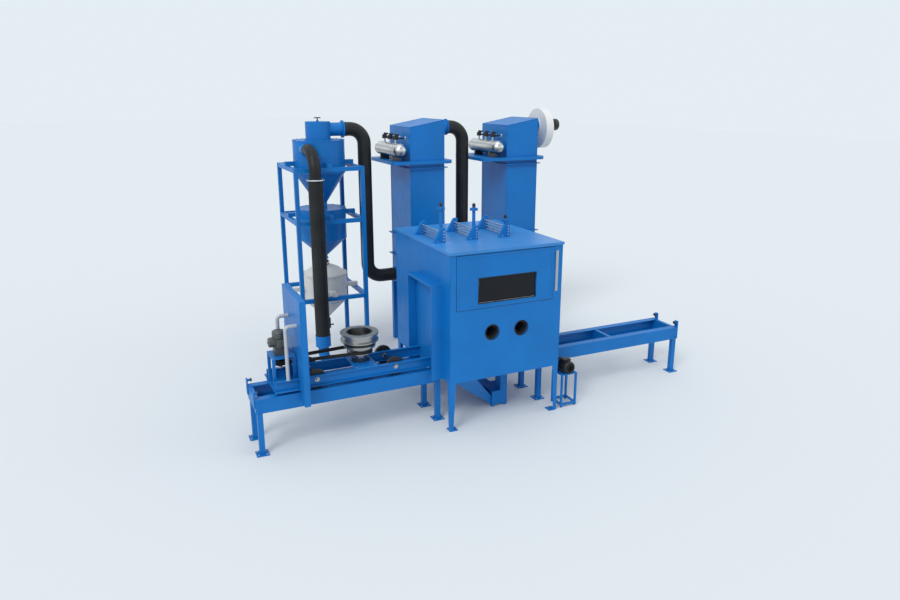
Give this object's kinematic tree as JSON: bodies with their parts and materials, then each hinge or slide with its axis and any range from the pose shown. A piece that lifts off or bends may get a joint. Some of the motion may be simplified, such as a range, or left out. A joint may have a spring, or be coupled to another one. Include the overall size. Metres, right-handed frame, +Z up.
{
  "type": "sandblasting cabinet",
  "caption": "Pass-through sandblasting cabinet on legs with a rail cart and powered turntable, a media tower with pressure pot, two dust collectors, an extraction fan and ducts",
  "frame": {"origin": "On the floor under the middle of the cabinet, at the centre of its four anchor holes", "axes": "+X along the rails from the cart towards the outfeed table, +Y from the operator's side towards the dust collectors, +Z up"},
  "size_m": [6.436, 3.964, 3.935],
  "materials": {
    "blue_paint": "satin blue coat",
    "white_paint": "satin white coat",
    "grey_paint": "satin grey coat",
    "dark_machine": "semi-matt black",
    "motor_grey": "satin dark grey",
    "dark_glass": "dark glass",
    "black_rubber": "matt rubber",
    "drive_belt_black": "matt belt",
    "bright_steel": "bright"
  },
  "bodies": {
    "plant": {"cabinet_front": "blue_paint", "cabinet_back": "blue_paint", "cabinet_left_front": "blue_paint", "cabinet_left_back": "blue_paint", "cabinet_left_top": "blue_paint", "cabinet_right_front": "blue_paint", "cabinet_right_back": "blue_paint", "cabinet_right_top": "blue_paint", "cabinet_roof": "blue_paint", "cabinet_floor": "blue_paint", "doorway_hood": "blue_paint", "cabinet_legs": "blue_paint", "left_rails": "blue_paint", "right_rails": "blue_paint", "inner_rails": "blue_paint", "table_legs": "blue_paint", "rail_stops": "blue_paint", "media_chute": "blue_paint", "return_pipe": "blue_paint", "tower_posts": "blue_paint", "tower_bars": "blue_paint", "separator_shell": "blue_paint", "separator_top": "blue_paint", "storage_hopper": "blue_paint", "storage_lid": "blue_paint", "collector_housings": "blue_paint", "dust_hoppers": "blue_paint", "collector_legs": "blue_paint", "collector_platforms": "blue_paint", "duct_collars": "blue_paint", "gun_brackets": "blue_paint", "gun_tubes": "blue_paint", "drive_stand": "blue_paint", "window_pane": "dark_glass", "arm_sleeves": "black_rubber", "tower_hose": "black_rubber", "collector_hose": "black_rubber", "supply_hose": "black_rubber", "air_tanks": "bright_steel", "gun_rods": "bright_steel", "fan_housing": "white_paint", "pressure_pot": "grey_paint", "pot_dome": "grey_paint", "fan_motor": "dark_machine", "stand_motor": "dark_machine", "pulse_valves": "dark_machine"},
    "valve_wheel": {"handwheel": "dark_machine"},
    "cart": {"cart_beams": "blue_paint", "cart_deck": "blue_paint", "turntable_plate": "blue_paint", "closing_panel": "blue_paint", "inner_panel": "blue_paint", "gear_motor": "motor_grey", "push_handles": "white_paint", "drive_belt": "drive_belt_black"},
    "left_wheels": {"left_wheelset": "dark_machine"},
    "right_wheels": {"right_wheelset": "dark_machine"},
    "drive_wheel": {"drive_pulley": "dark_machine"},
    "turntable": {"turntable_pulley": "grey_paint", "turntable_drum": "grey_paint"}
  },
  "joints": [
    {"name": "cart_slide", "type": "slide", "parent": "plant", "child": "cart", "axis": [1, 0, 0], "range_m": [0, 1.557]},
    {"name": "left_wheel_spin", "type": "hinge", "parent": "cart", "child": "left_wheels", "pos_m": [-2.372, -0.235, 0.8403], "axis": [0, 1, 0], "range_deg": [0, 760]},
    {"name": "right_wheel_spin", "type": "hinge", "parent": "cart", "child": "right_wheels", "pos_m": [-1.356, -0.235, 0.8403], "axis": [0, 1, 0], "range_deg": [0, 760]},
    {"name": "turntable_spin", "type": "hinge", "parent": "cart", "child": "turntable", "pos_m": [-1.75, -0.235, 1], "axis": [0, 0, 1], "continuous": true},
    {"name": "drive_spin", "type": "hinge", "parent": "cart", "child": "drive_wheel", "pos_m": [-2.755, -0.235, 1.1], "axis": [0, 0, 1], "continuous": true},
    {"name": "handwheel_spin", "type": "hinge", "parent": "plant", "child": "valve_wheel", "pos_m": [-1.466, 2.4, 3.8], "axis": [0, 0, 1], "continuous": true}
  ],
  "couplings": [
    {"joint": "left_wheel_spin", "follows": "cart_slide", "rad_per_m": 8.3333},
    {"joint": "right_wheel_spin", "follows": "cart_slide", "rad_per_m": 8.3333},
    {"joint": "drive_spin", "follows": "turntable_spin", "ratio": 2.0833}
  ]
}
